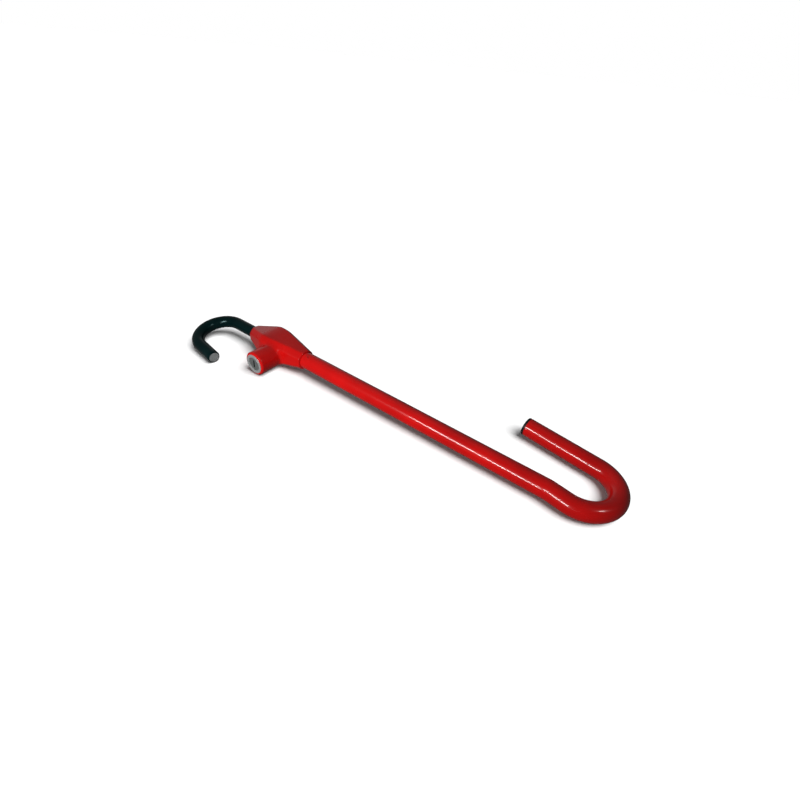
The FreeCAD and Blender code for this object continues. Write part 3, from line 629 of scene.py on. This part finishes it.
def facet_planes():
    """Outward directions and offsets of the housing's facets: an eight-sided section at
    the mouth, two at the widest part and one at the neck, joined by flats."""

    def section(x, half_width, half_height, bevel, drop=0.0):
        w, h, b = half_width, half_height, bevel
        ring = [(w, b - h), (w, h - b), (w - b, h), (b - w, h),
                (-w, h - b), (-w, b - h), (b - w, -h), (w - b, -h)]
        return [np.array((x, y, z - drop + AXIS_Z)) for y, z in ring]

    regular = 2 - math.sqrt(2)      # bevel of a regular octagon, over its half width
    belly = (BELLY_HALF_WIDTH, BELLY_HALF_HEIGHT, BELLY_BEVEL, BELLY_DROP)
    sections = [section(MOUTH_X, MOUTH_HALF, MOUTH_HALF, MOUTH_HALF * regular),
                section(-BELLY_HALF_LENGTH, *belly), section(BELLY_HALF_LENGTH, *belly),
                section(NECK_X, NECK_HALF, NECK_HALF, NECK_HALF * regular)]
    directions, offsets = [(-1.0, 0, 0), (1.0, 0, 0)], [-MOUTH_X, NECK_X]
    for here, there in zip(sections, sections[1:]):
        for side in range(8):
            first, second = here[side], here[(side + 1) % 8]
            normal = np.cross(second - first, there[side] - first)
            normal /= np.linalg.norm(normal)
            if normal @ (first - (first[0], 0, AXIS_Z)) < 0:
                normal = -normal
            directions.append(tuple(normal))
            offsets.append(normal @ first)
    return np.array(directions), np.array(offsets)


def housing_field():
    """A function of points: how far each is outside the housing's surface, before its bores."""
    directions, offsets = facet_planes()

    def field(points):
        gaps = points @ directions.T - offsets
        body = FACET_SOFTNESS * np.log(
            np.exp(np.maximum(gaps, -0.05) / FACET_SOFTNESS).sum(axis=1))
        out = np.hypot(points[:, 0] - KEY_X, points[:, 2] - KEY_Z) - BARREL_RADIUS
        far = np.abs(points[:, 1] + BARREL_FACE / 2) - BARREL_FACE / 2
        corner = np.maximum(np.stack([out, far], axis=1) + BARREL_ROUNDING, 0)
        barrel = np.minimum(np.maximum(out, far) + BARREL_ROUNDING, 0)
        barrel = barrel + np.hypot(corner[:, 0], corner[:, 1]) - BARREL_ROUNDING
        blend = np.maximum(BARREL_FILLET - np.abs(body - barrel), 0) / BARREL_FILLET
        joined = np.minimum(body, barrel) - blend ** 2 * BARREL_FILLET / 4
        return np.maximum(joined, -points[:, 2])

    return field


def housing_cutters():
    """The housing's stepped bores, the bolt's slot and the pin holes, as solids."""
    rod_bore = lathe("rod_bore", [
        (MOUTH_X - BEYOND, 0), (MOUTH_X - BEYOND, MOUTH_BORE_RADIUS),
        (MOUTH_BORE_END, MOUTH_BORE_RADIUS), (MOUTH_BORE_END, BUSH_SEAT_RADIUS),
        (BUSH_SEAT_END, BUSH_SEAT_RADIUS), (BUSH_SEAT_END, ROD_PASSAGE_RADIUS),
        (TUBE_START_X, ROD_PASSAGE_RADIUS), (TUBE_START_X, TUBE_SOCKET_RADIUS),
        (NECK_X + BEYOND, TUBE_SOCKET_RADIUS), (NECK_X + BEYOND, 0)],
        (0, 0, AXIS_Z), (1, 0, 0))
    key_bore = lathe("key_bore", [
        (BOLT_BORE_END, 0), (BOLT_BORE_END, BOLT_BORE_RADIUS),
        (CYLINDER_BORE_END, BOLT_BORE_RADIUS), (CYLINDER_BORE_END, CYLINDER_BORE_RADIUS),
        (-BARREL_FACE - BEYOND, CYLINDER_BORE_RADIUS), (-BARREL_FACE - BEYOND, 0)],
        (KEY_X, 0, KEY_Z), (0, 1, 0))
    slot_mesh = bpy.data.meshes.new("bolt_slot")
    build = bmesh.new()
    bmesh.ops.create_cube(build, size=1)
    bmesh.ops.scale(build, verts=build.verts, vec=BOLT_SLOT_SIZE)
    bmesh.ops.translate(build, verts=build.verts, vec=(KEY_X, BOLT_SLOT_Y, KEY_Z))
    build.to_mesh(slot_mesh)
    build.free()
    holes = [lathe("pin_hole", [(-BEYOND, 0), (-BEYOND, radius), (top, radius), (top, 0)],
                   (x, y, 0), (0, 0, 1), segments=32) for x, y, radius, top in PIN_HOLES]
    return [rod_bore, key_bore, new_piece("bolt_slot", slot_mesh)] + holes


def make_housing():
    """The housing as cast: softened facets that flow into the key barrel."""
    field = housing_field()
    low = np.array((MOUTH_X, -BARREL_FACE, 0)) - MARGIN
    high = np.array((NECK_X, BELLY_HALF_WIDTH, AXIS_Z + BELLY_HALF_HEIGHT)) + MARGIN
    vertices, quads = surface_net(field, low, high, CELL)
    vertices = settle(field, vertices, quads)
    mesh = bpy.data.meshes.new("housing_skin")
    mesh.from_pydata(vertices.tolist(), [], quads.tolist())
    mesh.polygons.foreach_set("use_smooth", [True] * len(mesh.polygons))
    piece = cut_away(new_piece("housing_skin", mesh), housing_cutters())
    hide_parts("lock_housing")
    return finish_piece(sharpen(piece, 40), "lock_body", "housing_red")


make_tube()
make_cap()
make_bezel()
make_sleeve()
housing_piece = make_housing()


# ---------------------------------------------------------------- carried-over CAD nodes

for entry in frame["record"]["subparts"]:
    node = frame["nodes"][entry["node"]]
    node.data.materials.clear()
    node.data.materials.append(materials[entry["material_slot"]])
# the plug gets painted shade: near black behind its face, for the shade inside its keyway
frame["nodes"]["key_plug"].data.materials[0] = keyway_shaded_metal(
    "plug_face", (0.47, 0.50, 0.49), -PLUG_FACE)


# ---------------------------------------------------------------- floor, light, camera

# the floor meets the housing's pad, and the pedal hook 400 mm away
FLOOR_TILT = math.atan2(AXIS_Z - TUBE_RADIUS, 400 * MM)
FLOOR_HALF = 30.0


def make_floor():
    """A wide pale floor that the lock rests on."""
    material, tree, shader, place = new_material("floor_white")
    drift = add_noise(tree, place, 1.5, 2)
    tree.links.new(add_ramp(tree, drift, [(0.3, (0.60, 0.60, 0.60)), (0.7, (0.62, 0.62, 0.62))]),
                   shader.inputs["Base Color"])
    shader.inputs["Roughness"].default_value = 0.9
    shader.inputs["Specular IOR Level"].default_value = 0.1
    mesh = bpy.data.meshes.new("floor")
    corners = [(-1, -1), (1, -1), (1, 1), (-1, 1)]
    mesh.from_pydata([(x * FLOOR_HALF, y * FLOOR_HALF, 0) for x, y in corners],
                     [], [(0, 1, 2, 3)])
    floor = new_piece("floor", mesh)
    floor.rotation_euler = (0, -FLOOR_TILT, 0)
    floor.data.materials.append(material)
    floor.visible_glossy = False
    floor.visible_diffuse = False
    return floor


def add_lamp(name, kind, spot, target, power, only=None, without=None, along=(1, 0, 0),
             mirrored=True, lit=True, **settings):
    """A lamp that lights only the listed objects, or everything but them. A strip's length
    lies along a direction. A lamp that isn't mirrored shows in no reflection, and one that
    isn't lit shows only in reflections."""
    data = bpy.data.lights.new(name, kind)
    data.energy = power
    for key, value in settings.items():
        setattr(data, key, value)
    lamp = bpy.data.objects.new(name, data)
    bpy.context.scene.collection.objects.link(lamp)
    back = (Vector(spot) - Vector(target)).normalized()
    side = Vector(along)
    side = (side - back * side.dot(back)).normalized()
    turn = Matrix((side, back.cross(side), back)).transposed().to_4x4()
    lamp.matrix_world = Matrix.Translation(spot) @ turn
    receivers = bpy.data.collections.new(name + "_receivers")
    for item in only or without:
        receivers.objects.link(item)
    for entry in receivers.collection_objects:
        entry.light_linking.link_state = "INCLUDE" if only else "EXCLUDE"
    lamp.light_linking.receiver_collection = receivers
    lamp.visible_glossy = mirrored
    lamp.visible_diffuse = lit
    lamp.visible_camera = False
    return lamp


def make_world():
    """White behind the object; for its light and reflections a dim room, brighter behind."""
    world = bpy.data.worlds.new("studio")
    world.use_nodes = True
    tree = world.node_tree
    place = tree.nodes.new("ShaderNodeTexCoord")
    behind = tree.nodes.new("ShaderNodeVectorMath")
    behind.operation = "DOT_PRODUCT"
    behind.inputs[1].default_value = Vector((-0.80, 0.58, 0.12)).normalized()
    tree.links.new(place.outputs["Generated"], behind.inputs[0])
    room = tree.nodes["Background"]
    greys = [(0.0, 0.075), (0.88, 0.13), (0.99, 0.34)]
    tree.links.new(add_ramp(tree, behind.outputs["Value"],
                            [(position, (grey,) * 3) for position, grey in greys]),
                   room.inputs["Color"])
    white = tree.nodes.new("ShaderNodeBackground")
    white.inputs["Color"].default_value = (1, 1, 1, 1)
    seen = tree.nodes.new("ShaderNodeLightPath")
    mix = tree.nodes.new("ShaderNodeMixShader")
    tree.links.new(seen.outputs["Is Camera Ray"], mix.inputs["Fac"])
    tree.links.new(room.outputs["Background"], mix.inputs[1])
    tree.links.new(white.outputs["Background"], mix.inputs[2])
    tree.links.new(mix.outputs["Shader"], tree.nodes["World Output"].inputs["Surface"])
    bpy.context.scene.world = world


def make_lights(floor, housing):
    """A white floor with a soft shadow, a low front key, a narrow strip for the long
    highlights and a high lamp for the glint on the pedal hook's bend."""
    middle = (0.15, 0.0, 0.02)
    add_lamp("floor_sun", "SUN", (0.60, 0.03, 0.84), middle, 6.0, only=[floor],
             angle=math.radians(46))
    add_lamp("floor_fill", "SUN", (0.15, 0.0, 1.02), middle, 0.3, only=[floor],
             use_shadow=False)
    add_lamp("key", "SPOT", (0.50, -1.10, 0.34), (0.075, 0.0, 0.02), 30, without=[floor],
             mirrored=False, spot_size=math.radians(36), spot_blend=1.0, shadow_soft_size=0.2)
    add_lamp("overhead", "AREA", (-0.12, 0.20, 0.62), (0.0, 0.0, 0.02), 0.45, without=[floor],
             mirrored=False, size=0.6)
    # the strip's power on the housing is shared, so that its flats reflect only a third
    strip = dict(kind="AREA", spot=(0.14, -0.60, 0.285), target=(0.27, 0.0, 0.02),
                 along=(0.92, 0, -0.385), shape="RECTANGLE", size=0.38, size_y=0.07)
    add_lamp("strip", power=3, without=[floor, housing], **strip)
    add_lamp("strip_on_housing", power=2.0, only=[housing], mirrored=False, **strip)
    add_lamp("strip_glint", power=1.0, only=[housing], **strip)
    add_lamp("high_glint", "AREA", (0.97, 0.01, 0.74), (0.40, 0.03, 0.023), 1.2,
             without=[floor], along=(0, 1, 0), lit=False, shape="RECTANGLE", size=0.26,
             size_y=0.05)


def make_camera():
    """A close, wide view down the lock from beyond its pedal hook."""
    data = bpy.data.cameras.new("camera")
    data.sensor_width = 36.0
    data.lens = 20.25
    camera = bpy.data.objects.new("camera", data)
    bpy.context.scene.collection.objects.link(camera)
    right = Vector((0.806, 0.584, 0.095)).normalized()
    back = Vector((0.414, -0.671, 0.615)).normalized()
    up = back.cross(right).normalized()
    right = up.cross(back)
    turn = Matrix((right, up, back)).transposed().to_4x4()
    camera.matrix_world = Matrix.Translation((0.3907, -0.3213, 0.3260)) @ turn
    data.clip_start = 0.01
    bpy.context.scene.camera = camera


stage_floor = make_floor()
make_world()
make_lights(stage_floor, housing_piece)
make_camera()
bpy.context.scene.view_settings.view_transform = "Standard"
